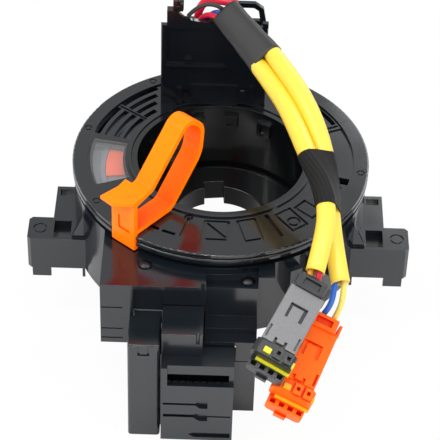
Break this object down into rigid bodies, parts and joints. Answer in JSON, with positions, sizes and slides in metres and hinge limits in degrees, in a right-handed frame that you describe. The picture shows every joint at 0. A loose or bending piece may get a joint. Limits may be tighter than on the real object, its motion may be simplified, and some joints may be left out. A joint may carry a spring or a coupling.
{
  "type": "steering clock spring",
  "caption": "Steering clock spring: round rotary joint with fixing ears, a connector tower, an orange transport clip and a yellow-sleeved harness ending in two plugs.",
  "frame": {"origin": "on the steering axis, at the drum's rear face", "axes": "+Z along the steering axis towards the wheel, +Y towards the connector tower, the connector block at -Y"},
  "size_m": [0.134, 0.1569, 0.1063],
  "materials": {
    "case_black": "moulded black plastic, semi-gloss",
    "rotor_black": "moulded black plastic, glossy",
    "housing_black": "moulded black plastic, semi-gloss",
    "cam_black": "moulded black plastic",
    "screw_steel": "blackened steel",
    "terminal_metal": "plated copper alloy",
    "carrier_grey": "moulded grey plastic",
    "marker_salmon": "moulded salmon plastic",
    "roller_white": "low-friction white plastic",
    "ribbon": "laminated copper ribbon, translucent amber film",
    "lens_clear": "clear moulded window",
    "clip_orange": "moulded orange plastic",
    "sleeve_black": "satin black sleeving",
    "tape_black": "black cloth tape",
    "sleeve_yellow": "satin yellow sleeving",
    "wire_red": "wire insulation",
    "wire_amber": "wire insulation",
    "wire_blue": "wire insulation",
    "wire_lemon": "wire insulation",
    "plug_grey": "moulded grey plastic",
    "plug_dark": "moulded dark plastic",
    "plug_orange": "moulded orange plastic",
    "lock_yellow": "moulded yellow plastic",
    "lock_amber": "moulded amber plastic"
  },
  "bodies": {
    "stator": {"stator_case": "case_black", "case_screws": "screw_steel", "back_cover": "case_black", "connector_housing": "housing_black", "housing_cap": "housing_black", "socket_terminals": "terminal_metal", "lead_block": "cam_black"},
    "rotor": {"rotor_disc": "rotor_black", "rotor_hub": "cam_black", "cancel_cam": "cam_black", "window_lens": "lens_clear", "tower_insert": "housing_black", "tower_pins": "terminal_metal", "black_sleeve": "sleeve_black", "yellow_sleeve_a": "sleeve_yellow", "yellow_sleeve_b": "sleeve_yellow", "tape_wrap": "tape_black", "red_lead": "wire_red", "amber_lead": "wire_amber", "blue_lead": "wire_blue", "lemon_lead": "wire_lemon", "tower_red": "wire_red", "tower_blue": "wire_blue", "tower_yellow": "wire_amber", "feed_wire": "wire_red", "grey_plug": "plug_dark", "grey_plug_shell": "plug_grey", "grey_plug_cover": "plug_dark", "grey_plug_lock": "lock_yellow", "orange_plug": "plug_orange", "orange_plug_shell": "plug_orange", "orange_plug_cover": "plug_orange", "orange_plug_lock": "lock_amber"},
    "carrier": {"carrier_ring": "carrier_grey", "neutral_marker": "marker_salmon", "flat_cable": "ribbon"},
    "clip": {"lock_clip": "clip_orange"},
    "roller_1": {"roller_1": "roller_white"},
    "roller_2": {"roller_2": "roller_white"},
    "roller_3": {"roller_3": "roller_white"},
    "roller_4": {"roller_4": "roller_white"},
    "roller_5": {"roller_5": "roller_white"}
  },
  "joints": [
    {"name": "rotor_spin", "type": "hinge", "parent": "stator", "child": "rotor", "pos_m": [0, 0, 0.034], "axis": [0, 0, 1], "range_deg": [-900, 900]},
    {"name": "carrier_turn", "type": "hinge", "parent": "stator", "child": "carrier", "pos_m": [0, 0, 0.029], "axis": [0, 0, 1], "range_deg": [-362, 362]},
    {"name": "clip_pull", "type": "slide", "parent": "rotor", "child": "clip", "axis": [0, 0, 1], "range_m": [0, 0.012]},
    {"name": "roller_1_spin", "type": "hinge", "parent": "carrier", "child": "roller_1", "pos_m": [0.03754, 0.01366, 0.016], "axis": [0, 0, 1], "range_deg": [-2860, 2860]},
    {"name": "roller_2_spin", "type": "hinge", "parent": "carrier", "child": "roller_2", "pos_m": [-0.00139, 0.03993, 0.016], "axis": [0, 0, 1], "range_deg": [-2860, 2860]},
    {"name": "roller_3_spin", "type": "hinge", "parent": "carrier", "child": "roller_3", "pos_m": [-0.0384, 0.01101, 0.016], "axis": [0, 0, 1], "range_deg": [-2860, 2860]},
    {"name": "roller_4_spin", "type": "hinge", "parent": "carrier", "child": "roller_4", "pos_m": [-0.02234, -0.03312, 0.016], "axis": [0, 0, 1], "range_deg": [-2860, 2860]},
    {"name": "roller_5_spin", "type": "hinge", "parent": "carrier", "child": "roller_5", "pos_m": [0.0246, -0.03148, 0.016], "axis": [0, 0, 1], "range_deg": [-2860, 2860]}
  ],
  "couplings": [
    {"joint": "carrier_turn", "follows": "rotor_spin", "ratio": 0.4},
    {"joint": "roller_1_spin", "follows": "rotor_spin", "ratio": -3.13},
    {"joint": "roller_2_spin", "follows": "rotor_spin", "ratio": -3.13},
    {"joint": "roller_3_spin", "follows": "rotor_spin", "ratio": -3.13},
    {"joint": "roller_4_spin", "follows": "rotor_spin", "ratio": -3.13},
    {"joint": "roller_5_spin", "follows": "rotor_spin", "ratio": -3.13}
  ]
}
